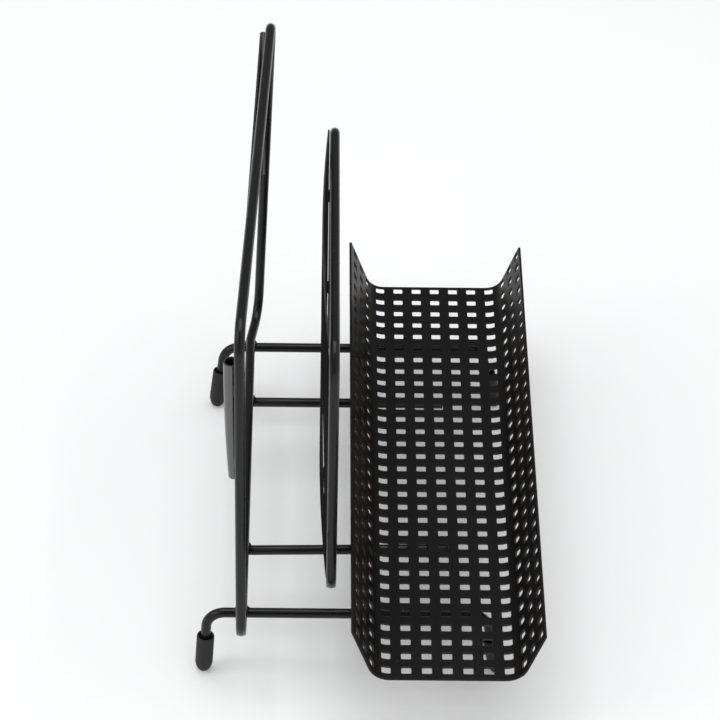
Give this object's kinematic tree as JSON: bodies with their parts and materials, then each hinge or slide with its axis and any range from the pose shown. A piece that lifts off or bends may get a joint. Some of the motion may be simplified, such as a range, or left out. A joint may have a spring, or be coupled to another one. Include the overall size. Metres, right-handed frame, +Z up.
{
  "type": "letter rack",
  "caption": "Welded wire letter rack: a low and a tall wire loop with pierced sheet panels hold letters upright behind a perforated pen tray, on wire legs with rubber caps.",
  "frame": {"origin": "on the desk under the middle of the rack's box", "axes": "+X along the rack's length to its right end, +Y from the pen tray to the back loop, +Z up"},
  "size_m": [0.2476, 0.1358, 0.1871],
  "materials": {
    "tray_lacquer": "satin black lacquer on perforated steel sheet",
    "panel_lacquer": "satin black lacquer on pierced steel sheet",
    "wire_lacquer": "glossy black lacquer on steel wire",
    "weld_lacquer": "black lacquer over weld beads",
    "cap_rubber": "matt black rubber"
  },
  "bodies": {
    "root": {"pen_tray": "tray_lacquer", "base_wire_left": "wire_lacquer", "base_wire_right": "wire_lacquer", "cross_wire_left": "wire_lacquer", "cross_wire_right": "wire_lacquer", "back_loop": "wire_lacquer", "front_loop": "wire_lacquer", "back_panel": "panel_lacquer", "front_panel": "panel_lacquer", "foot_cap_front_left": "cap_rubber", "foot_cap_front_right": "cap_rubber", "foot_cap_back_left": "cap_rubber", "foot_cap_back_right": "cap_rubber", "back_loop_welds": "weld_lacquer", "front_loop_welds": "weld_lacquer", "tray_welds": "weld_lacquer", "back_panel_tacks": "weld_lacquer", "front_panel_tacks": "weld_lacquer"}
  },
  "joints": []
}
